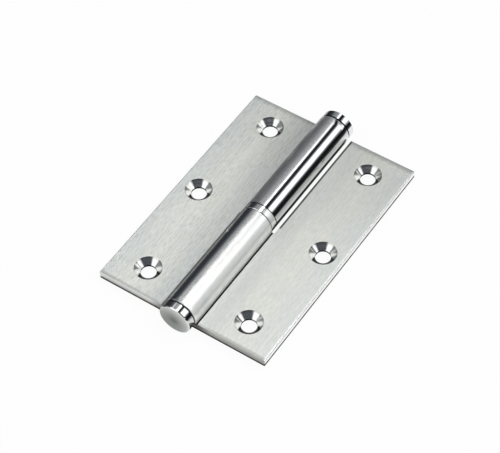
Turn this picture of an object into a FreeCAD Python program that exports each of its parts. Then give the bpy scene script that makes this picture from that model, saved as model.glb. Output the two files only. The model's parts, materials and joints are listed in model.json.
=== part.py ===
import FreeCAD, Part
import math
import os

import Sketcher

# Lift-off butt hinge of stainless steel, lying open with its countersunk side up.
# +Y runs along the pin, +X points to the leaf that holds the pin, +Z is up.
# The origin is under the middle of the barrel, on the surface that the barrel rests on.

# Driving sizes in millimetres, angles in degrees
SIZES = {
    # Leaves
    "leaf_length": 100,  # along the pin
    "leaf_reach": 35,  # pin axis to outer edge
    "sheet_thickness": 3,
    "side_round": 0.35,  # rolled-over front edge along the leaf
    "edge_break": 0.3,  # chamfer round both ends
    # Rolled knuckle
    "pin_above_back": 4.8,  # pin axis over the mounting face
    "bend_radius": 1,  # inside of the reverse bend where the sheet leaves the roll
    "seam_gap": 0.15,  # rolled tip over the leaf's front
    "notch_gap": 1.05,  # leaf's cut-out to the other leaf's knuckle
    # Pin
    "pin_diameter": 7,
    "pin_clearance": 0.05,  # radial, in the lifting knuckle and in the ring
    "pin_lead": 1,  # chamfer on both ends
    "pin_end_room": 1.5,  # pin end to cap shank
    # Thrust ring
    "ring_thickness": 3,
    "ring_offset": -0.5,  # ring's middle from the leaf's mid-length
    "ring_chamfer": 0.25,
    "axial_play": 0.1,  # each side of the ring
    # Screw holes
    "screw_diameter": 5.8,
    "countersink_diameter": 10.3,
    "countersink_angle": 90,
    "end_margin": 10.9,  # leaf end to outer holes
    "outer_inset": 13.5,  # leaf edge to outer holes
    "middle_inset": 8.1,  # leaf edge to middle hole
    # End caps
    "cap_diameter": 12.7,
    "cap_length": 3.5,
    "cap_dome": 0.15,
    "cap_chamfer": 0.25,
    "neck_length": 0.45,
    "neck_depth": 0.35,
    "shank_length": 6,
    "shank_lead": 0.5,
}

# Sizes that follow from the driving ones, as expressions for the document
BORE_RADIUS = "(Sizes.pin_diameter / 2 + Sizes.pin_clearance)"
KNUCKLE_RADIUS = f"({BORE_RADIUS} + Sizes.sheet_thickness)"
HALF_LENGTH = "(Sizes.leaf_length / 2)"
FRONT = "(Sizes.sheet_thickness - Sizes.pin_above_back)"
RING_SHARE = "(Sizes.ring_thickness / 2 + Sizes.axial_play)"
PIN_KNUCKLE = f"({HALF_LENGTH} + Sizes.ring_offset - {RING_SHARE})"
LIFT_KNUCKLE = f"({HALF_LENGTH} - Sizes.ring_offset - {RING_SHARE})"
CAP_RADIUS = "(Sizes.cap_diameter / 2)"
SAME_PLACE = 0.001

document = FreeCAD.newDocument("hinge")
sheet = document.addObject("Spreadsheet::Sheet", "Sizes")
for row, (name, value) in enumerate(SIZES.items(), start=1):
    sheet.set(f"A{row}", name)
    sheet.set(f"B{row}", str(value))
    sheet.setAlias(f"B{row}", name)
document.recompute()


def number(expression):
    """The present value of an expression."""
    return float(sheet.evalExpression(expression))


def new_body(label, turned, along="0"):
    """A body on the pin axis, turned half round about +Z where it belongs to the other side."""
    body = document.addObject("PartDesign::Body", label)
    half_turn = 180 if turned else 0
    body.Placement.Rotation = FreeCAD.Rotation(FreeCAD.Vector(0, 0, 1), half_turn)
    body.setExpression("Placement.Base.y", along)
    body.setExpression("Placement.Base.z", KNUCKLE_RADIUS)
    return body


def new_sketch(body, name, plane_role):
    """An empty sketch on one of the body's own origin planes."""
    sketch = body.newObject("Sketcher::SketchObject", name)
    plane = next(item for item in body.Origin.OriginFeatures if item.Role == plane_role)
    sketch.AttachmentSupport = (plane, [""])
    sketch.MapMode = "FlatFace"
    return sketch


def bind(sketch, kind, *where, size):
    """One dimension of a sketch that follows an expression."""
    index = sketch.addConstraint(Sketcher.Constraint(kind, *where, number(size)))
    sketch.setExpression(f"Constraints[{index}]", size)


def join(sketch, kind, *where):
    """One geometric constraint of a sketch."""
    sketch.addConstraint(Sketcher.Constraint(kind, *where))


def pin_down(sketch, item, end, across, along):
    """Fix a point of a sketch at two expressions measured from the sketch's origin."""
    for kind, axis, size in (("DistanceX", -2, across), ("DistanceY", -1, along)):
        if size == "0":
            join(sketch, "PointOnObject", item, end, axis)
        else:
            bind(sketch, kind, -1, 1, item, end, size=size)


def point(across, along):
    """A sketch point from two expressions."""
    return FreeCAD.Vector(number(across), number(along), 0)


def draw_chain(sketch, corners):
    """Straight lines from corner to corner, each corner fixed by its two expressions."""
    lines = []
    for start, finish in zip(corners, corners[1:]):
        lines.append(sketch.addGeometry(Part.LineSegment(point(*start), point(*finish))))
        pin_down(sketch, lines[-1], 1, *start)
    for before, after in zip(lines, lines[1:]):
        join(sketch, "Coincident", before, 2, after, 1)
    return lines


def draw_loop(sketch, corners):
    """A closed outline of straight lines."""
    lines = draw_chain(sketch, corners + corners[:1])
    join(sketch, "Coincident", lines[-1], 2, lines[0], 1)


def revolve(body, sketch):
    """Turn a half section about the pin axis."""
    turned = body.newObject("PartDesign::Revolution", "turned")
    turned.Profile = sketch
    turned.ReferenceAxis = (sketch, ["V_Axis"])
    turned.Angle = 360
    document.recompute()
    return turned


def dress_edges(body, feature, kind, size_name, size, belongs):
    """Round or chamfer the edges of a feature that pass a test."""
    edges = enumerate(feature.Shape.Edges, start=1)
    names = [f"Edge{index}" for index, edge in edges if belongs(edge)]
    dressed = body.newObject(f"PartDesign::{kind}", "dressed_edges")
    dressed.Base = (feature, names)
    dressed.setExpression(size_name, size)
    document.recompute()
    return dressed


def is_near(value, expression):
    return abs(value - number(expression)) < SAME_PLACE


def draw_rolled_section(sketch):
    """The leaf seen from its end: flat sheet, reverse bend, and a roll that ends over the leaf's front."""
    bore = number(BORE_RADIUS)
    knuckle = number(KNUCKLE_RADIUS)
    bend = number("Sizes.bend_radius")
    reach = number("Sizes.leaf_reach")
    back = -number("Sizes.pin_above_back")
    front = number(FRONT)
    bend_down = back - bend
    bend_across = math.sqrt((knuckle + bend) ** 2 - bend_down ** 2)
    to_bend = math.atan2(bend_down, bend_across)
    to_tip = math.asin((front + number("Sizes.seam_gap")) / knuckle)
    from_bend = math.pi + to_bend

    def at(radius, angle):
        return FreeCAD.Vector(radius * math.cos(angle), radius * math.sin(angle), 0)

    def arc(centre, radius, start, finish):
        circle = Part.Circle(centre, FreeCAD.Vector(0, 0, 1), radius)
        return sketch.addGeometry(Part.ArcOfCircle(circle, start, finish))

    def line(start, finish):
        return sketch.addGeometry(Part.LineSegment(start, finish))

    axis = FreeCAD.Vector(0, 0, 0)
    bend_centre = FreeCAD.Vector(bend_across, bend_down, 0)
    inner_roll = arc(axis, bore, to_tip, to_bend + 2 * math.pi)
    outer_roll = arc(axis, knuckle, to_tip, to_bend + 2 * math.pi)
    front_bend = arc(bend_centre, bend + number("Sizes.sheet_thickness"), math.pi / 2, from_bend)
    back_bend = arc(bend_centre, bend, math.pi / 2, from_bend)
    front_face = line(FreeCAD.Vector(bend_across, front, 0), FreeCAD.Vector(reach, front, 0))
    outer_edge = line(FreeCAD.Vector(reach, front, 0), FreeCAD.Vector(reach, back, 0))
    back_face = line(FreeCAD.Vector(reach, back, 0), FreeCAD.Vector(bend_across, back, 0))
    tip = line(at(bore, to_tip), at(knuckle, to_tip))

    join(sketch, "Coincident", inner_roll, 3, -1, 1)
    join(sketch, "Coincident", outer_roll, 3, -1, 1)
    join(sketch, "Coincident", front_bend, 3, back_bend, 3)
    join(sketch, "Coincident", front_face, 2, outer_edge, 1)
    join(sketch, "Coincident", outer_edge, 2, back_face, 1)
    join(sketch, "Coincident", tip, 1, inner_roll, 1)
    join(sketch, "Coincident", tip, 2, outer_roll, 1)
    join(sketch, "PointOnObject", -1, 1, tip)
    join(sketch, "Vertical", outer_edge)
    join(sketch, "Horizontal", back_face)
    join(sketch, "Horizontal", front_face)
    join(sketch, "Tangent", outer_roll, 2, back_bend, 2)
    join(sketch, "Tangent", inner_roll, 2, front_bend, 2)
    join(sketch, "Tangent", back_bend, 1, back_face, 2)
    join(sketch, "Tangent", front_bend, 1, front_face, 1)
    bind(sketch, "Radius", inner_roll, size=BORE_RADIUS)
    bind(sketch, "Radius", outer_roll, size=KNUCKLE_RADIUS)
    bind(sketch, "Radius", back_bend, size="Sizes.bend_radius")
    bind(sketch, "DistanceX", -1, 1, outer_edge, 2, size="Sizes.leaf_reach")
    bind(sketch, "DistanceY", outer_edge, 2, -1, 1, size="Sizes.pin_above_back")
    bind(sketch, "DistanceY", front_face, 1, tip, 2, size="Sizes.seam_gap")


def make_leaf(label, turned, knuckle_length):
    """A rolled leaf with its knuckle at the near end, the cut-out beyond it and three screw holes."""
    body = new_body(label, turned)
    section = new_sketch(body, "rolled_section", "XZ_Plane")
    draw_rolled_section(section)
    strip = body.newObject("PartDesign::Pad", "rolled_strip")
    strip.Profile = section
    strip.setExpression("Length", "Sizes.leaf_length")
    strip.SideType = "Symmetric"
    document.recompute()

    notch_edge = f"({KNUCKLE_RADIUS} + Sizes.notch_gap)"
    knuckle_end = f"({knuckle_length} - {HALF_LENGTH})"
    cut_out = new_sketch(body, "cut_out_outline", "XY_Plane")
    draw_loop(cut_out, [
        ("-Sizes.leaf_reach", knuckle_end),
        (notch_edge, knuckle_end),
        (notch_edge, "Sizes.leaf_length"),
        ("-Sizes.leaf_reach", "Sizes.leaf_length"),
    ])
    notch = body.newObject("PartDesign::Pocket", "cut_out")
    notch.Profile = cut_out
    notch.Type = "ThroughAll"
    notch.SideType = "Symmetric"
    document.recompute()

    centres = new_sketch(body, "hole_centres", "XY_Plane")
    centres.setExpression("AttachmentOffset.Base.z", FRONT)
    outer = "(Sizes.leaf_reach - Sizes.outer_inset)"
    middle = "(Sizes.leaf_reach - Sizes.middle_inset)"
    from_middle = f"({HALF_LENGTH} - Sizes.end_margin)"
    for across, along in ((outer, f"-{from_middle}"), (middle, "0"), (outer, from_middle)):
        radius = number("Sizes.screw_diameter / 2")
        circle = Part.Circle(point(across, along), FreeCAD.Vector(0, 0, 1), radius)
        item = centres.addGeometry(circle)
        pin_down(centres, item, 3, across, along)
        bind(centres, "Radius", item, size="Sizes.screw_diameter / 2")
    document.recompute()
    holes = body.newObject("PartDesign::Hole", "screw_holes")
    holes.Profile = centres
    holes.DepthType = "ThroughAll"
    holes.HoleCutType = "Countersink"
    holes.setExpression("Diameter", "Sizes.screw_diameter")
    holes.setExpression("HoleCutDiameter", "Sizes.countersink_diameter")
    holes.setExpression("HoleCutCountersinkAngle", "Sizes.countersink_angle")
    document.recompute()

    def is_on_front(edge):
        return edge.BoundBox.ZLength < SAME_PLACE and is_near(edge.BoundBox.ZMin, FRONT)

    def is_side(edge):
        box = edge.BoundBox
        return is_on_front(edge) and box.XLength < SAME_PLACE and is_near(box.XMin, "Sizes.leaf_reach")

    def is_end(edge):
        """The leaf's front edge at both ends and the rim of the roll at its own end."""
        box = edge.BoundBox
        in_end = box.YLength < SAME_PLACE and is_near(abs(box.YMin), HALF_LENGTH)
        on_rim = isinstance(edge.Curve, Part.Circle) and is_near(edge.Curve.Radius, KNUCKLE_RADIUS)
        return in_end and (is_on_front(edge) or on_rim)

    rounded = dress_edges(body, holes, "Fillet", "Radius", "Sizes.side_round", is_side)
    dress_edges(body, rounded, "Chamfer", "Size", "Sizes.edge_break", is_end)
    return body


def make_pin():
    """The pin: a fixed part that fills the pin leaf's knuckle, and a slimmer part that turns and slides."""
    body = new_body("hinge_pin", turned=False)
    section = new_sketch(body, "pin_section", "XY_Plane")
    end = f"({HALF_LENGTH} - Sizes.shank_length - Sizes.pin_end_room)"
    shoulder = f"({PIN_KNUCKLE} - {HALF_LENGTH})"
    running = "(Sizes.pin_diameter / 2)"
    draw_loop(section, [
        ("0", f"-{end}"),
        (f"{BORE_RADIUS} - Sizes.pin_lead", f"-{end}"),
        (BORE_RADIUS, f"Sizes.pin_lead - {end}"),
        (BORE_RADIUS, shoulder),
        (running, shoulder),
        (running, f"{end} - Sizes.pin_lead"),
        (f"{running} - Sizes.pin_lead", end),
        ("0", end),
    ])
    revolve(body, section)
    return body


def make_ring():
    """The loose washer that carries the lifting knuckle."""
    body = new_body("thrust_ring", turned=False, along="Sizes.ring_offset")
    outline = new_sketch(body, "ring_outline", "XZ_Plane")
    for radius in (KNUCKLE_RADIUS, BORE_RADIUS):
        circle = Part.Circle(FreeCAD.Vector(0, 0, 0), FreeCAD.Vector(0, 0, 1), number(radius))
        item = outline.addGeometry(circle)
        join(outline, "Coincident", item, 3, -1, 1)
        bind(outline, "Radius", item, size=radius)
    blank = body.newObject("PartDesign::Pad", "ring_blank")
    blank.Profile = outline
    blank.setExpression("Length", "Sizes.ring_thickness")
    blank.SideType = "Symmetric"
    document.recompute()

    def is_rim(edge):
        return isinstance(edge.Curve, Part.Circle)

    dress_edges(body, blank, "Chamfer", "Size", "Sizes.ring_chamfer", is_rim)
    return body


def make_cap(label, turned):
    """A turned end cap: pressed shank, short neck against the knuckle, and a head with a low dome."""
    side = 1 if turned else -1
    body = new_body(label, turned, along=f"{side} * {HALF_LENGTH}")
    section = new_sketch(body, "cap_section", "XY_Plane")
    neck = f"({CAP_RADIUS} - Sizes.neck_depth)"
    rim = "(Sizes.cap_dome - Sizes.cap_length)"
    corners = [
        ("0", "-Sizes.cap_length"),
        ("0", "Sizes.shank_length"),
        (f"{BORE_RADIUS} - Sizes.shank_lead", "Sizes.shank_length"),
        (BORE_RADIUS, "Sizes.shank_length - Sizes.shank_lead"),
        (BORE_RADIUS, "0"),
        (neck, "0"),
        (neck, "-Sizes.neck_length"),
        (CAP_RADIUS, "-Sizes.neck_length"),
        (CAP_RADIUS, rim),
    ]
    lines = draw_chain(section, corners)
    pin_down(section, lines[-1], 2, *corners[-1])
    radius = number(f"({CAP_RADIUS} ^ 2 + Sizes.cap_dome ^ 2) / (2 * Sizes.cap_dome)")
    centre = FreeCAD.Vector(0, radius - number("Sizes.cap_length"), 0)
    circle = Part.Circle(centre, FreeCAD.Vector(0, 0, 1), radius)
    opening = math.asin(number(CAP_RADIUS) / radius)
    dome = section.addGeometry(Part.ArcOfCircle(circle, -math.pi / 2, opening - math.pi / 2))
    join(section, "Coincident", dome, 1, lines[0], 1)
    join(section, "Coincident", dome, 2, lines[-1], 2)
    join(section, "PointOnObject", dome, 3, -2)
    turned_shape = revolve(body, section)

    def is_rim(edge):
        box = edge.BoundBox
        return box.YLength < SAME_PLACE and is_near(box.YMin, rim) and is_near(box.XMax, CAP_RADIUS)

    dress_edges(body, turned_shape, "Chamfer", "Size", "Sizes.cap_chamfer", is_rim)
    return body


sub_parts = [
    make_leaf("pin_leaf", False, PIN_KNUCKLE),
    make_leaf("lift_leaf", True, LIFT_KNUCKLE),
    make_pin(),
    make_ring(),
    make_cap("pin_side_cap", False),
    make_cap("lift_side_cap", True),
]
document.recompute()

for item in document.Objects:
    if "Invalid" in item.State or "Error" in item.State:
        raise RuntimeError(f"{item.Label} failed: {item.State}")
for sub_part in sub_parts:
    if sub_part.Shape.isNull() or not sub_part.Shape.isValid():
        raise RuntimeError(f"{sub_part.Label} has no valid shape")

os.makedirs("parts", exist_ok=True)
for sub_part in sub_parts:
    sub_part.Shape.exportStep(f"parts/{sub_part.Label}.step")
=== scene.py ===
import json
import math

import bpy
from mathutils import Matrix, Vector


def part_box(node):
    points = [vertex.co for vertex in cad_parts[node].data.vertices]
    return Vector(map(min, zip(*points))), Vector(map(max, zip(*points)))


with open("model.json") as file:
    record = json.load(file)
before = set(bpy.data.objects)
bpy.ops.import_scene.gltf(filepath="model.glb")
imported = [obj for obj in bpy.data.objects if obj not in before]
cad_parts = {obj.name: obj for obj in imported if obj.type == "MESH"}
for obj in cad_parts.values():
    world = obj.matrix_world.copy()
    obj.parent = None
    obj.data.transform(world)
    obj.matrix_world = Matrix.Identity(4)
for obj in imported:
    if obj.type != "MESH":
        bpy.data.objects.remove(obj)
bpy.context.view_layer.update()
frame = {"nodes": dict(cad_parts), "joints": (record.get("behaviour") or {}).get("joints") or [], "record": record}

# A lift-off butt hinge of stainless steel, lying open on a white table.
# Metres in the frame's own axes: +Y along the pin, +X to the leaf that holds the pin, +Z up.

MM = 0.001
NODES = frame["nodes"]
PIN_HEIGHT = frame["joints"][0]["pos_m"][2]
RING_LOW, RING_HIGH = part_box("thrust_ring")
BARREL_RADIUS = (RING_HIGH.x - RING_LOW.x) / 2
LEAF_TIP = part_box("pin_leaf")[1].x
LEAF_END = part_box("pin_leaf")[1].y
# Heights of the leaves' fronts and backs over the table.
LEAF_FRONT = 4.75 * MM
LEAF_BACK = 1.75 * MM
# Distances from the pin to the seam beside the barrel, and to the edge that is cut back round a knuckle.
SEAM_X = 6.84 * MM
NOTCH_X = 7.6 * MM
# The joints along the barrel: both sides of the ring, and where the caps meet the knuckles.
JOINTS = (RING_LOW.y - 0.05 * MM, RING_HIGH.y + 0.05 * MM, LEAF_END, -LEAF_END)
SEAT_REACH = 5.3 * MM
NECK_RADIUS = 6.1 * MM
HEAD_BACK = LEAF_END + 0.5 * MM
ALONG_PIN = (0, 1, 0)
UPRIGHT = (0, 0, 1)


def linear(hex_colour):
    """An sRGB hex colour as linear RGBA."""
    parts = [int(hex_colour[place:place + 2], 16) / 255 for place in (1, 3, 5)]
    curve = [part / 12.92 if part <= 0.04045 else ((part + 0.055) / 1.055) ** 2.4 for part in parts]
    return (*curve, 1)


def set_stops(elements, stops):
    """Give a ramp its stops, from pairs of place and tone. A tone is a grey or a colour."""
    while len(elements) > 1:
        elements.remove(elements[0])
    for index, (place, tone) in enumerate(stops):
        element = elements[0] if index == 0 else elements.new(place)
        element.position = place
        element.color = tone if isinstance(tone, tuple) else (tone, tone, tone, 1)


def add(tree, kind, inputs=(), stops=None, **settings):
    """One node with its settings. Its inputs come in the node's own order, or by name.

    An input is a value, another node's output, or another node, which then gives its first output.
    """
    node = tree.nodes.new(kind)
    for name, value in settings.items():
        setattr(node, name, value)
    if stops:
        set_stops(node.color_ramp.elements, stops)
    placed = inputs.items() if isinstance(inputs, dict) else enumerate(inputs)
    for place, value in placed:
        if isinstance(value, bpy.types.Node):
            value = value.outputs[0]
        if isinstance(value, bpy.types.NodeSocket):
            tree.links.new(value, node.inputs[place])
        else:
            node.inputs[place].default_value = value
    return node


def new_material(name):
    """An empty material, its nodes, and where a point is: as one place and as x, y and z."""
    material = bpy.data.materials.new(name)
    material.use_nodes = True
    tree = material.node_tree
    tree.nodes.clear()
    place = add(tree, "ShaderNodeTexCoord").outputs["Object"]
    axes = add(tree, "ShaderNodeSeparateXYZ", (place,)).outputs
    return material, tree, place, axes


def grain(tree, place, size, detail=2.0):
    """Noise stretched to a real size along each axis."""
    squeeze = tuple(1 / length for length in size)
    stretched = add(tree, "ShaderNodeMapping", {"Vector": place, "Scale": squeeze})
    return add(tree, "ShaderNodeTexNoise", {"Vector": stretched, "Scale": 1.0, "Detail": detail})


def largest(tree, first, *others):
    """The largest of several values."""
    for other in others:
        first = add(tree, "ShaderNodeMath", (first, other), operation="MAXIMUM")
    return first


def band(tree, value, middle, core, fade):
    """1 within a distance of a value, falling to 0 a little further off."""
    off = add(tree, "ShaderNodeMath", (value, middle), operation="SUBTRACT")
    reach = add(tree, "ShaderNodeMath", (off,), operation="ABSOLUTE")
    return add(tree, "ShaderNodeMapRange", (reach, core, fade, 1.0, 0.0))


def angle_about_pin(tree, axes):
    """How far round the barrel a point is: 0 at -X, 0.25 below, 0.5 at +X and 0.75 on top."""
    height = add(tree, "ShaderNodeMath", (axes["Z"], PIN_HEIGHT), operation="SUBTRACT")
    angle = add(tree, "ShaderNodeMath", (height, axes["X"]), operation="ARCTAN2")
    return add(tree, "ShaderNodeMapRange", (angle, -math.pi, math.pi, 0.0, 1.0))


def round_barrel(stops):
    """Ramp stops for that angle, from pairs of degrees and value: 0 is at +X and 90 on top."""
    return [((degrees + 180) / 360, value) for degrees, value in stops]


def across_the_grain(tree):
    """The direction in the surface at right angles to the pin, which brushed light spreads along."""
    facing = add(tree, "ShaderNodeNewGeometry").outputs["Normal"]
    return add(tree, "ShaderNodeVectorMath", (facing, ALONG_PIN), operation="CROSS_PRODUCT")


def painted_crease_shade(tree, axes):
    """Where painted shade darkens the creases, joints and notch edges: 1 there, and 0 a little way out of them."""
    side = add(tree, "ShaderNodeMath", (axes["X"],), operation="ABSOLUTE")
    at_front = band(tree, axes["Z"], LEAF_FRONT, 0.12 * MM, 0.3 * MM)
    at_seam = band(tree, side, SEAM_X, 0.28 * MM, 0.42 * MM)
    crease = add(tree, "ShaderNodeMath", (at_front, at_seam), operation="MULTIPLY")
    # The notched half of each leaf has x and y of the same sign. Its edge by the barrel gets painted shade too.
    same_sign = add(tree, "ShaderNodeMath", (axes["X"], axes["Y"]), operation="MULTIPLY")
    notched = add(tree, "ShaderNodeMapRange", (same_sign, 0.0, 10 * MM * MM, 0.0, 0.9))
    at_notch = band(tree, side, NOTCH_X + 0.25 * MM, 0.3 * MM, 0.8 * MM)
    notch = add(tree, "ShaderNodeMath", (notched, at_notch), operation="MULTIPLY")
    at_joints = largest(tree, *[band(tree, axes["Y"], joint, 0.12 * MM, 0.22 * MM) for joint in JOINTS])
    on_barrel = add(tree, "ShaderNodeMapRange", (side, BARREL_RADIUS, BARREL_RADIUS + 0.05 * MM, 0.75, 0.0))
    joint_shade = add(tree, "ShaderNodeMath", (at_joints, on_barrel), operation="MULTIPLY")
    return largest(tree, joint_shade, crease, notch)


def edge_fall(tree, axes):
    """How far the sheet's front has rolled down, in mm, over the last stretch to its outer edges."""
    length = add(tree, "ShaderNodeMath", (axes["Y"],), operation="ABSOLUTE")
    long_edge = (axes["X"], LEAF_TIP, 1.0 * MM, 0.085)
    both_ends = (length, LEAF_END, 2.4 * MM, 0.18)
    falls = []
    for out, edge, width, depth in (long_edge, both_ends):
        near = add(tree, "ShaderNodeMapRange", (out, edge - width, edge, 0.0, 1.0))
        curve = add(tree, "ShaderNodeMath", (near, near), operation="MULTIPLY")
        falls.append(add(tree, "ShaderNodeMath", (curve, depth), operation="MULTIPLY"))
    return add(tree, "ShaderNodeMath", falls, operation="ADD")


def painted_falloff_shade(tree, axes, side, share):
    """How much painted shade darkens the sheet: most beside the barrel, and more to the far end, with a strip
    along the near end.
    """
    near_to_far = add(tree, "ShaderNodeMapRange", (axes["Y"], -40 * MM, 40 * MM, 0.5 * share, share))
    by_barrel = band(tree, side, 8 * MM, 3 * MM, 14 * MM)
    beside = add(tree, "ShaderNodeMath", (near_to_far, by_barrel), operation="MULTIPLY")
    far = add(tree, "ShaderNodeMapRange", (axes["Y"], 2 * MM, 34 * MM, 0.0, 0.08))
    spread = add(tree, "ShaderNodeMath", (beside, far), operation="ADD")
    at_end = band(tree, axes["Y"], -LEAF_END + 0.5 * MM, 0.4 * MM, 1.3 * MM)
    near_end = add(tree, "ShaderNodeMath", (at_end, 0.3), operation="MULTIPLY")
    at_root = band(tree, side, 7.5 * MM, 2 * MM, 10 * MM)
    root = add(tree, "ShaderNodeMath", (at_root, 0.17), operation="MULTIPLY")
    return largest(tree, spread, near_end, root)


def finish_metal(tree, metal, shade_share=None):
    """Put a metal on the material's surface, mixed with a dark diffuse where it has a share of painted shade."""
    surface = metal
    if shade_share is not None:
        # The dark diffuse is the painted shade.
        painted_shade = add(tree, "ShaderNodeBsdfDiffuse", {"Color": linear("#1b1a19")})
        surface = add(tree, "ShaderNodeMixShader", (shade_share, metal, painted_shade))
    add(tree, "ShaderNodeOutputMaterial", (surface,))


def brushed_stainless(name, warm, cool, rough, anisotropy, groove_depth, streak_depth,
                      painted_shade=None, sheet_shade=0.0):
    """Stainless sheet brushed along the pin. Its grey is soft and a little cloudy, with fine streaks.

    rough and painted_shade are stops round the barrel, and groove_depth is in mm. painted_shade and sheet_shade
    are shares of painted shade.
    """
    material, tree, place, axes = new_material(name)
    # Real grooves are near 0.05 mm wide. These are drawn coarser, so that they show.
    fine = grain(tree, place, (0.34 * MM, 2.6 * MM, 0.34 * MM), detail=1.5)
    long = grain(tree, place, (0.45 * MM, 14 * MM, 0.45 * MM))
    lines = add(tree, "ShaderNodeMix", {"Factor": 0.35, "A": fine, "B": long})
    # The pin leaf's long edge is rubbed smooth, so it catches a soft bright line.
    rub_start, rub_end = LEAF_TIP - 1.4 * MM, LEAF_TIP - 0.7 * MM
    rubbed = add(tree, "ShaderNodeMapRange", (axes["X"], rub_start, rub_end, 0.0, 1.0))
    # The middle of each leaf is polished a little warmer than its edges, in clouds some 7 mm across.
    side = add(tree, "ShaderNodeMath", (axes["X"],), operation="ABSOLUTE")
    middle = band(tree, side, 21 * MM, 3 * MM, 14 * MM)
    cloud = grain(tree, place, (7 * MM, 10 * MM, 7 * MM), detail=4.0)
    clouds = add(tree, "ShaderNodeMapRange", (cloud, 0.3, 0.7, 0.0, 1.0))
    warmth = add(tree, "ShaderNodeMix", {"Factor": 0.6, "A": clouds, "B": middle})
    tint = add(tree, "ShaderNodeMixRGB", (warmth, linear(cool), linear(warm)))
    darkest, lightest = 1.0 - streak_depth / 2, 1.0 + streak_depth / 2
    streaks = add(tree, "ShaderNodeMapRange", (lines, 0.34, 0.66, darkest, lightest))
    shade = add(tree, "ShaderNodeMix", {"Factor": rubbed, "A": streaks, "B": 1.0})
    tone = add(tree, "ShaderNodeVectorMath", {0: tint, "Scale": shade}, operation="SCALE")
    turn = angle_about_pin(tree, axes)
    rough_round = add(tree, "ShaderNodeValToRGB", (turn,), stops=round_barrel(rough))
    rough_lines = add(tree, "ShaderNodeMapRange", (lines, 0.3, 0.7, 1.14, 0.86))
    brushed = add(tree, "ShaderNodeMath", (rough_round, rough_lines), operation="MULTIPLY")
    roughness = add(tree, "ShaderNodeMix", {"Factor": rubbed, "A": brushed, "B": 0.37})
    cut = add(tree, "ShaderNodeMath", (lines, groove_depth), operation="MULTIPLY")
    grooves = add(tree, "ShaderNodeMix", {"Factor": rubbed, "A": cut, "B": 0.5 * groove_depth})
    height = add(tree, "ShaderNodeMath", (grooves, edge_fall(tree, axes)), operation="SUBTRACT")
    bump = add(tree, "ShaderNodeBump", {"Height": height, "Strength": 1.0, "Distance": MM})
    metal = add(tree, "ShaderNodeBsdfPrincipled", {
        "Base Color": tone, "Metallic": 1.0, "Roughness": roughness,
        "Anisotropic": anisotropy, "Tangent": across_the_grain(tree), "Normal": bump})
    # Painted shade darkens the creases, joints and notch edges, and where given, the sheet by the barrel and round
    # the roll.
    painted_shade_share = painted_crease_shade(tree, axes)
    if sheet_shade:
        painted_shade_share = largest(tree, painted_shade_share, painted_falloff_shade(tree, axes, side, sheet_shade))
    if painted_shade:
        painted_shade_share = largest(tree, painted_shade_share, add(tree, "ShaderNodeValToRGB", (turn,), stops=round_barrel(painted_shade)))
    finish_metal(tree, metal, painted_shade_share)
    return material


def turned_stainless(name, light, dark, rough, axis, ring_width, painted_shade=None, rim_shade=0.0):
    """Stainless steel cut on a lathe and polished. It is mirror bright, with faint rings from the tool.

    painted_shade holds stops round the barrel, the share of painted shade. rim_shade is the painted shade's share
    at the rim of a screw seat.
    """
    material, tree, place, axes = new_material(name)
    # Real tool rings are near 0.1 mm apart. These are drawn coarser, so that they show.
    size = tuple(ring_width if step else 12 * MM for step in axis)
    rings = grain(tree, place, size, detail=1.0)
    tone = add(tree, "ShaderNodeValToRGB", (rings,), stops=[(0.3, linear(dark)), (0.7, linear(light))])
    roughness = add(tree, "ShaderNodeMapRange", (rings, 0.3, 0.7, rough * 0.8, rough * 1.2))
    metal = add(tree, "ShaderNodeBsdfPrincipled", {
        "Base Color": tone, "Metallic": 1.0, "Roughness": roughness})
    # Painted shade darkens the metal round the barrel, or at a seat's rim, where it is given.
    painted_shade_share = None
    if painted_shade:
        painted_shade_share = add(tree, "ShaderNodeValToRGB", (angle_about_pin(tree, axes),), stops=round_barrel(painted_shade))
    if rim_shade:
        # Painted shade darkens the rim of a screw seat.
        rim_start = LEAF_FRONT - 0.7 * MM
        painted_shade_share = add(tree, "ShaderNodeMapRange", (axes["Z"], rim_start, LEAF_FRONT, 0.0, rim_shade))
    finish_metal(tree, metal, painted_shade_share)
    return material


def faced_stainless(name, rim, middle, edge, rough):
    """A bar's end faced off on a lathe. It is a dull grey with round tool marks, with painted shade darker to the
    middle and a painted highlight at its edge.
    """
    material, tree, _, axes = new_material(name)
    height = add(tree, "ShaderNodeMath", (axes["Z"], PIN_HEIGHT), operation="SUBTRACT")
    off = add(tree, "ShaderNodeCombineXYZ", (axes["X"], height))
    reach = add(tree, "ShaderNodeVectorMath", (off,), operation="LENGTH").outputs["Value"]
    outward = add(tree, "ShaderNodeMapRange", (reach, 0.0, BARREL_RADIUS, 0.0, 1.0))
    stops = [(0.15, linear(middle)), (0.8, linear(rim)), (0.93, linear(edge))]
    tone = add(tree, "ShaderNodeValToRGB", (outward,), stops=stops)
    # Painted light: the turned face is brighter to its upper right and darker to its lower left.
    painted_light_side = (0.5, 0.8, 0)
    lean = add(tree, "ShaderNodeVectorMath", (off, painted_light_side), operation="DOT_PRODUCT").outputs["Value"]
    shade = add(tree, "ShaderNodeMapRange", (lean, -BARREL_RADIUS, BARREL_RADIUS, 0.42, 1.48))
    shaded = add(tree, "ShaderNodeVectorMath", {0: tone, "Scale": shade}, operation="SCALE")
    # Real tool marks are near 0.1 mm apart. These are drawn coarser, so that they show.
    outward_place = add(tree, "ShaderNodeCombineXYZ", (reach,))
    marks = grain(tree, outward_place, (0.22 * MM, 1, 1), detail=1.0)
    roughness = add(tree, "ShaderNodeMapRange", (marks, 0.3, 0.7, rough * 0.85, rough * 1.15))
    bump = add(tree, "ShaderNodeBump", {"Height": marks, "Strength": 1.0, "Distance": 0.004 * MM})
    metal = add(tree, "ShaderNodeBsdfPrincipled", {
        "Base Color": shaded, "Metallic": 1.0, "Roughness": roughness, "Normal": bump})
    finish_metal(tree, metal)
    return material


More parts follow.
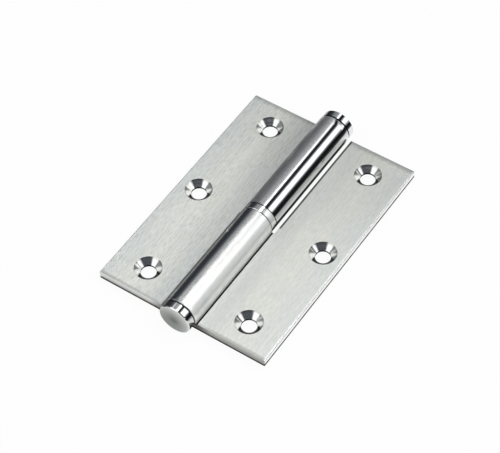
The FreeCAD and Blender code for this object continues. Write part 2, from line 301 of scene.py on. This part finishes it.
def sheared_stainless(name, light, dark, rough, torn_height=0.75):
    """The cut side of stamped sheet. The punch burnishes the upper part and tears a duller strip below.

    torn_height is in mm over the sheet's back.
    """
    material, tree, place, axes = new_material(name)
    # The punch's real drag lines are near 0.1 mm wide. These are drawn coarser, so that they show.
    drag = grain(tree, place, (0.4 * MM, 0.4 * MM, 4 * MM))
    wave = grain(tree, place, (2 * MM, 2 * MM, 30 * MM))
    sway = add(tree, "ShaderNodeMath", (wave, 0.4 * MM), operation="MULTIPLY")
    level = add(tree, "ShaderNodeMath", (axes["Z"], sway), operation="SUBTRACT")
    burnish_from = LEAF_BACK + (torn_height - 0.35) * MM
    burnish = add(tree, "ShaderNodeMapRange", (level, burnish_from, burnish_from + 0.6 * MM, 0.0, 1.0))
    # Painted shade darkens the cut beside the barrel.
    side = add(tree, "ShaderNodeMath", (axes["X"],), operation="ABSOLUTE")
    shade_by_barrel = add(tree, "ShaderNodeMapRange", (side, 7.5 * MM, 13 * MM, 0.3, 1.0))
    tone = add(tree, "ShaderNodeMixRGB", (burnish, linear(dark), linear(light)))
    streaks = add(tree, "ShaderNodeMapRange", (drag, 0.3, 0.7, 0.92, 1.04))
    shade = add(tree, "ShaderNodeMath", (streaks, shade_by_barrel), operation="MULTIPLY")
    shaded = add(tree, "ShaderNodeVectorMath", {0: tone, "Scale": shade}, operation="SCALE")
    smooth = add(tree, "ShaderNodeMapRange", (drag, 0.3, 0.7, rough - 0.08, rough + 0.08))
    roughness = add(tree, "ShaderNodeMix", {"Factor": burnish, "A": 0.6, "B": smooth})
    bump = add(tree, "ShaderNodeBump", {"Height": drag, "Strength": 1.0, "Distance": 0.006 * MM})
    metal = add(tree, "ShaderNodeBsdfPrincipled", {
        "Base Color": shaded, "Metallic": 1.0, "Roughness": roughness, "Normal": bump})
    finish_metal(tree, metal)
    return material


# The leaves are brushed alike. The one that lifts off is more worn, so its streaks are stronger. Both get painted
# shade beside the barrel and toward the far end, more on the one that lifts off.
SHEET = brushed_stainless(
    "brushed_stainless_sheet", "#eff0e8", "#e5e9e7", rough=[(0, 0.38)],
    anisotropy=0.75, groove_depth=0.0012, streak_depth=0.2, sheet_shade=0.08)
WORN_SHEET = brushed_stainless(
    "worn_brushed_stainless_sheet", "#f5f6ee", "#e8edec", rough=[(0, 0.4)],
    anisotropy=0.75, groove_depth=0.0016, streak_depth=0.37, sheet_shade=0.26)
# The pin leaf's knuckle is a satin roll, so it shows the tent as soft bands. Painted shade darkens its left side
# and underside, and a band beside its highlight.
SATIN_ROLL = brushed_stainless(
    "satin_stainless_roll", "#faf8f0", "#f0f2f2",
    rough=[
        (-180, 0.14), (-90, 0.5), (0, 0.5), (8, 0.36), (24, 0.36), (34, 0.6), (43, 0.46), (51, 0.3),
        (60, 0.34), (80, 0.34), (88, 0.28), (96, 0.2), (104, 0.12), (118, 0.1), (126, 0.2), (180, 0.2)],
    anisotropy=0.6, groove_depth=0.0002, streak_depth=0.12,
    painted_shade=[
        (-180, 0.4), (-60, 0.0), (66, 0.0), (74, 0.2), (80, 0.3), (86, 0.26), (93, 0.02), (130, 0.0),
        (137, 0.5), (143, 0.68), (180, 0.72)])
# The lifting knuckle is polished, so it shows the tent as sharp dark and bright lines. Painted dark bands add to
# these lines, and painted shade darkens its left side and underside.
POLISHED_ROLL = brushed_stainless(
    "polished_stainless_roll", "#f1f1f0", "#e9ebec",
    rough=[
        (-180, 0.3), (-150, 0.2), (-90, 0.1), (-10, 0.05), (73, 0.05), (83, 0.17), (100, 0.27),
        (112, 0.36), (180, 0.36)],
    anisotropy=0.6, groove_depth=0.0001, streak_depth=0.18,
    painted_shade=[
        (-180, 0.3), (-20, 0.0), (2, 0.0), (8, 0.06), (16, 0.16), (22, 0.3), (28, 0.45), (36, 0.6),
        (44, 0.3), (50, 0.1), (56, 0.0), (68, 0.0), (74, 0.36), (80, 0.4), (86, 0.2), (92, 0.0),
        (120, 0.0), (128, 0.14), (136, 0.3), (144, 0.26), (152, 0.14), (180, 0.05)])
# The ring is satin too, with painted shade on its underside and where it is close to the leaves.
SATIN_RING = brushed_stainless(
    "satin_stainless_ring", "#f8f8f6", "#f0f2f2",
    rough=[
        (-180, 0.12), (-90, 0.1), (0, 0.1), (12, 0.14), (24, 0.26), (34, 0.5), (46, 0.42), (66, 0.24),
        (84, 0.1), (98, 0.07), (180, 0.1)],
    anisotropy=0.5, groove_depth=0.0, streak_depth=0.05,
    painted_shade=[
        (-180, 0.4), (-20, 0.5), (0, 0.5), (5, 0.3), (10, 0.0), (130, 0.0), (136, 0.55), (142, 0.65),
        (180, 0.7)])
# The cut sides of the leaves show a bright band over a dark one. The pin leaf's ends are duller.
DULL_END = sheared_stainless("sheared_stainless_end_dull", "#b2b2af", "#3e3d3a", 0.4, 1.1)
BRIGHT_END = sheared_stainless("sheared_stainless_end_bright", "#e2e2df", "#5f5e59", 0.4, 1.0)
SIDE_CUT = sheared_stainless("sheared_stainless_side", "#ffffff", "#4a4946", 0.2, 0.9)
# The pin leaf's long edge is rolled over and softly white.
EDGE_ROLL = sheared_stainless("rolled_stainless_edge", "#ffffff", "#ffffff", 0.55)
# Walls of the holes and the notches are punched. They are deep in shade, so they are painted nearly black: painted
# shade.
PUNCHED = sheared_stainless("punched_stainless_wall", "#4a4a48", "#201f1e", 0.4)
# The groove behind a cap's head gets little light, so it is painted nearly black: painted shade.
GROOVE = sheared_stainless("shaded_stainless_groove", "#1c1b1a", "#121110", 0.5)
# The caps are turned round the pin's line, and mirror bright, with painted shade on their left side and underside.
# Their ends are faced, and a dull grey with painted shade and light.
TURNED = turned_stainless(
    "turned_stainless_cap", "#ebebeb", "#e2e3e4", 0.05, ALONG_PIN, 0.3 * MM,
    painted_shade=[(-180, 0.3), (-20, 0.0), (116, 0.0), (125, 0.6), (138, 0.52), (148, 0.4), (180, 0.34)])
FACED = faced_stainless("faced_stainless_end", "#a9aca9", "#777b79", "#c2c4c2", 0.3)
# The screw seats are cut by a countersink, round an upright line. They flash bright and dark, with painted shade
# round their rims.
SEAT = turned_stainless(
    "countersunk_stainless_seat", "#e9eae7", "#dbdcda", 0.13, UPRIGHT, 0.3 * MM, rim_shade=0.36)
# The pin is ground, so its light is a little softer than the caps'.
GROUND = turned_stainless("ground_stainless_pin", "#dcdcdc", "#cecece", 0.15, ALONG_PIN, 0.4 * MM)


def screw_places():
    """The axes of all the screw holes, from the record's mounts."""
    places = []
    for mount in frame["record"]["mounts"]:
        middle = Vector(mount["pos_m"])
        if mount["kind"] == "bore":
            places.append(middle)
        if mount["kind"] == "bolt_pattern":
            half = Vector((0, mount["dims"]["spacing_y_mm"] * MM / 2, 0))
            places += [middle - half, middle + half]
    return places


HOLES = screw_places()


def from_pin(face):
    """How far from the pin's line a face is."""
    return math.hypot(face.center.x, face.center.z - PIN_HEIGHT)


def leaf_part(face):
    """Which part of a leaf a face belongs to."""
    upright = abs(face.normal.z) < 0.1
    in_hole = min((face.center - hole).xy.length for hole in HOLES) < SEAT_REACH
    if from_pin(face) < BARREL_RADIUS:
        return "end" if abs(face.normal.y) > 0.9 else "roll"
    if in_hole and abs(face.normal.z) < 0.95:
        return "wall" if upright else "seat"
    if upright and abs(face.center.x) < NOTCH_X + 1 * MM:
        return "wall"
    if abs(face.normal.y) > 0.5:
        return "end"
    if upright:
        return "side"
    return "long_edge" if face.center.x > LEAF_TIP - 0.5 * MM and face.normal.z < 0.97 else "sheet"


def cap_part(face):
    """Which part of a cap a face belongs to."""
    if from_pin(face) < NECK_RADIUS and LEAF_END < abs(face.center.y) < HEAD_BACK:
        return "groove"
    return "end" if abs(face.normal.y) > 0.9 else "turned"


def dress(name, finishes, part_of=lambda face: "all"):
    """Give a node the finishes of its parts, and each of its faces the finish of the part it is in."""
    body = NODES[name]
    body.data.materials.clear()
    for material in finishes.values():
        body.data.materials.append(material)
    parts = list(finishes)
    for face in body.data.polygons:
        face.material_index = parts.index(part_of(face))


CAP = {"turned": TURNED, "end": FACED, "groove": GROOVE}
dress("pin_leaf", {
    "sheet": SHEET, "roll": SATIN_ROLL, "seat": SEAT, "end": DULL_END,
    "wall": PUNCHED, "side": SIDE_CUT, "long_edge": EDGE_ROLL}, leaf_part)
dress("lift_leaf", {
    "sheet": WORN_SHEET, "roll": POLISHED_ROLL, "seat": SEAT, "end": BRIGHT_END,
    "wall": PUNCHED, "side": SIDE_CUT}, leaf_part)
dress("pin_side_cap", CAP, cap_part)
dress("lift_side_cap", CAP, cap_part)
dress("thrust_ring", {"all": SATIN_RING})
dress("hinge_pin", {"all": GROUND})


# The table's painted tone in the metal, falling off with the distance from the pin in mm, and how far these
# distances go.
TABLE_TONES = [(37.5, 1.0), (40.5, 0.3), (50, 0.06), (90, 0.012)]
TABLE_SPAN = 100
# Half the table's width, in metres.
TABLE_HALF = 3.0


def table_in_metal(tree, axes):
    """The table's brightness in the metal: white beside the hinge, with painted shade under it and a painted
    fall-off far off.
    """
    side = add(tree, "ShaderNodeMath", (axes["X"],), operation="ABSOLUTE")
    length = add(tree, "ShaderNodeMath", (axes["Y"],), operation="ABSOLUTE")
    out = add(tree, "ShaderNodeMapRange", (side, 0.0, TABLE_SPAN * MM, 0.0, 1.0))
    stops = [(distance / TABLE_SPAN, tone) for distance, tone in TABLE_TONES]
    dim = add(tree, "ShaderNodeValToRGB", (out,), stops=stops)
    past_side = add(tree, "ShaderNodeMapRange", (side, LEAF_TIP - 2 * MM, LEAF_TIP + 1 * MM, 0.0, 1.0))
    past_end = add(tree, "ShaderNodeMapRange", (length, LEAF_END + 0.3 * MM, LEAF_END + 3 * MM, 0.0, 1.0))
    clear = largest(tree, past_side, past_end)
    # Under the hinge the mirrored table is held dim at 0.05: painted shade.
    lit = add(tree, "ShaderNodeMix", {"Factor": clear, "A": 0.05, "B": dim})
    mirrored = add(tree, "ShaderNodeLightPath").outputs["Is Glossy Ray"]
    return add(tree, "ShaderNodeMix", {"Factor": mirrored, "A": 1.0, "B": lit})


def lay_table():
    """A white table. It looks evenly lit, and keeps a trace of the hinge's soft shadow."""
    corners = [(-TABLE_HALF, -TABLE_HALF, 0), (TABLE_HALF, -TABLE_HALF, 0),
               (TABLE_HALF, TABLE_HALF, 0), (-TABLE_HALF, TABLE_HALF, 0)]
    mesh = bpy.data.meshes.new("table")
    mesh.from_pydata(corners, [], [(0, 1, 2, 3)])
    table = bpy.data.objects.new("table", mesh)
    bpy.context.scene.collection.objects.link(table)
    material, tree, _, axes = new_material("white_table")
    paper = add(tree, "ShaderNodeBsdfDiffuse", {"Color": linear("#ffffff")})
    brightness = table_in_metal(tree, axes)
    white = add(tree, "ShaderNodeEmission", {"Color": linear("#ffffff"), "Strength": brightness})
    # 1 for what the camera sees, directly or in the metal, and 0 for the light that the table gives.
    path = add(tree, "ShaderNodeLightPath").outputs
    seen = largest(tree, path["Is Camera Ray"], path["Is Glossy Ray"])
    white_share = add(tree, "ShaderNodeMath", (seen, 0.95), operation="MULTIPLY")
    mixed = add(tree, "ShaderNodeMixShader", (white_share, paper, white))
    add(tree, "ShaderNodeOutputMaterial", (mixed,))
    mesh.materials.append(material)


# The tent's light round the camera's line of sight: 0 is right, 90 is up and 180 is left.
CLOTH = [
    (0, 0.01), (12, 0.012), (17, 0.04), (21, 0.2), (25, 0.62), (29, 1.2), (45, 1.2), (49, 0.8),
    (53, 0.22), (55.5, 0.02), (63, 0.02), (66.5, 0.3), (69, 1.0), (71, 1.2), (75, 1.2), (78.5, 0.72),
    (84, 0.43), (92, 0.33), (100, 0.3), (107, 0.24), (113, 0.13), (120, 0.08), (130, 0.05),
    (145, 0.035), (180, 0.05)]
# The two lamps behind the cloth, in the same degrees.
LAMPS = [(29, 0.0), (32, 7.0), (43, 7.0), (46, 0.0), (70, 0.0), (71.5, 7.5), (73.5, 7.5), (75.5, 0.0)]
# A ramp holds tones up to 1, so the tent's tones are kept in it as shares of this one.
BRIGHTEST = 8
# How strong the cloth and the lamps are where the metal looks little along the pin, and where it looks
# far along it, with the leans at which the change starts and ends.
CLOTH_STRENGTH = (0.44, 0.56, 1.08, 0.86)
LAMP_STRENGTH = (0.42, 0.58, 1.8, 0.1)
# The tent's even tones: low down, in the windows and on the dark card. The slit has a share of a window's.
LOW_TONE = 0.3
WINDOW_TONE = 1.42
SLIT_SHARE = 0.45
CARD_TONE = 0.1
# The tent's white turns slightly blue where it is dim.
TENT_HUES = [(0.0, "#dbe6ff"), (0.25, "#f6faff"), (0.6, "#ffffff")]
# Directions from the hinge: level and away from the camera, level and to its right, and to the dark card.
AHEAD = Vector((-0.582, 0.813, 0))
ACROSS = Vector((0.813, 0.582, 0))
DARK_CARD = Vector((0.563, -0.551, 0.616))


def opening(tree, *limits):
    """1 inside an opening in the tent, and 0 outside it.

    Each limit is a value, where the opening is shut on it and where it is clear.
    """
    share = 1.0
    for value, shut, clear in limits:
        edge = add(tree, "ShaderNodeMapRange", (value, shut, clear, 0.0, 1.0))
        share = add(tree, "ShaderNodeMath", (edge, share), operation="MULTIPLY")
    return share


def cloth_and_lamps(tree, turn, along_pin):
    """The light of the tent's far side."""
    lights = []
    for tones, (start, end, near, far) in ((CLOTH, CLOTH_STRENGTH), (LAMPS, LAMP_STRENGTH)):
        stops = [(degree / 180, tone / BRIGHTEST) for degree, tone in tones]
        light = add(tree, "ShaderNodeValToRGB", (turn,), stops=stops)
        near, far = near * BRIGHTEST, far * BRIGHTEST
        strength = add(tree, "ShaderNodeMapRange", (along_pin, start, end, near, far))
        lights.append(add(tree, "ShaderNodeMath", (light, strength), operation="MULTIPLY"))
    return add(tree, "ShaderNodeMath", lights, operation="ADD")


def windows(tree, axes, turn, across, window_edge):
    """How far a direction lies in one of the bright windows on the camera's side."""
    # The narrow slit gives the near cap its thin bright line.
    slit = opening(tree, (turn, 0.532, 0.542), (turn, 0.59, 0.58), (axes["Y"], 0.455, 0.45))
    return largest(
        tree,
        opening(tree, (window_edge, 0.07, -0.04), (axes["Z"], 0.42, 0.52), (axes["Z"], 0.97, 0.93)),
        opening(tree, (window_edge, 0.1, 0.0), (axes["Z"], 0.3, 0.38), (across, -0.3, -0.5)),
        opening(tree, (window_edge, -0.35, -0.4), (axes["Z"], 0.2, 0.3)),
        add(tree, "ShaderNodeMath", (slit, SLIT_SHARE), operation="MULTIPLY"),
        opening(
            tree, (axes["X"], 0.45, 0.6), (axes["Y"], 0.555, 0.615),
            (axes["Z"], 0.24, 0.29), (axes["Z"], 0.55, 0.42)))


def hang_tent():
    """A white light tent with dark strips and a dark card round the camera, for the metal to mirror."""
    world = bpy.data.worlds.new("light_tent")
    bpy.context.scene.world = world
    world.use_nodes = True
    tree = world.node_tree
    tree.nodes.clear()
    look = add(tree, "ShaderNodeTexCoord").outputs["Generated"]
    axes = add(tree, "ShaderNodeSeparateXYZ", (look,)).outputs
    across, ahead, window_edge, to_card = [
        add(tree, "ShaderNodeVectorMath", (look, line), operation="DOT_PRODUCT").outputs["Value"]
        for line in (ACROSS, AHEAD, AHEAD - 0.2 * ACROSS, DARK_CARD)]
    angle = add(tree, "ShaderNodeMath", (axes["Z"], across), operation="ARCTAN2")
    turn = add(tree, "ShaderNodeMapRange", (angle, 0.0, math.pi, 0.0, 1.0))
    # Low down, the tent is an even grey: ahead on the right, and all but straight ahead on the left.
    right = add(tree, "ShaderNodeMapRange", (across, -0.05, 0.05, 0.0, 1.0))
    left_share = add(tree, "ShaderNodeMapRange", (ahead, 0.55, 0.75, 1.0, 0.0))
    right_share = add(tree, "ShaderNodeMapRange", (ahead, 0.15, 0.35, 0.0, 1.0))
    side_share = add(tree, "ShaderNodeMix", {"Factor": right, "A": left_share, "B": right_share})
    low = add(tree, "ShaderNodeMapRange", (axes["Z"], 0.62, 0.72, 1.0, 0.0))
    low_share = add(tree, "ShaderNodeMath", (side_share, low), operation="MULTIPLY")
    far_side = cloth_and_lamps(tree, turn, axes["Y"])
    sides = add(tree, "ShaderNodeMix", {"Factor": low_share, "A": far_side, "B": LOW_TONE})
    window_share = windows(tree, axes, turn, across, window_edge)
    tent = add(tree, "ShaderNodeMix", {"Factor": window_share, "A": sides, "B": WINDOW_TONE})
    covered = opening(tree, (to_card, 0.72, 0.84), (axes["Z"], 0.78, 0.68))
    strength = add(tree, "ShaderNodeMix", {"Factor": covered, "A": tent, "B": CARD_TONE})
    stops = [(tone, linear(colour)) for tone, colour in TENT_HUES]
    hue = add(tree, "ShaderNodeValToRGB", (strength,), stops=stops)
    tent_light = add(tree, "ShaderNodeBackground", {"Color": hue, "Strength": strength})
    white = add(tree, "ShaderNodeBackground", {"Color": linear("#ffffff"), "Strength": 1.0})
    seen = add(tree, "ShaderNodeLightPath").outputs["Is Camera Ray"]
    mixed = add(tree, "ShaderNodeMixShader", (seen, tent_light, white))
    add(tree, "ShaderNodeOutputWorld", (mixed,))


def place_camera():
    """A long lens, high over the near right corner, tilted a little."""
    stand = Vector((0.23832, -0.33966, 0.53275))
    aim = Vector((-0.003718, -0.001126, 0))
    tilt = math.radians(-2.163)
    camera = bpy.data.objects.new("camera", bpy.data.cameras.new("camera"))
    camera.data.sensor_width = 36
    camera.data.lens = 134.24
    turn = (aim - stand).to_track_quat("-Z", "Y").to_matrix() @ Matrix.Rotation(tilt, 3, "Z")
    camera.matrix_world = Matrix.Translation(stand) @ turn.to_4x4()
    bpy.context.scene.collection.objects.link(camera)
    bpy.context.scene.camera = camera


lay_table()
hang_tent()
place_camera()
bpy.context.scene.view_settings.view_transform = "Standard"
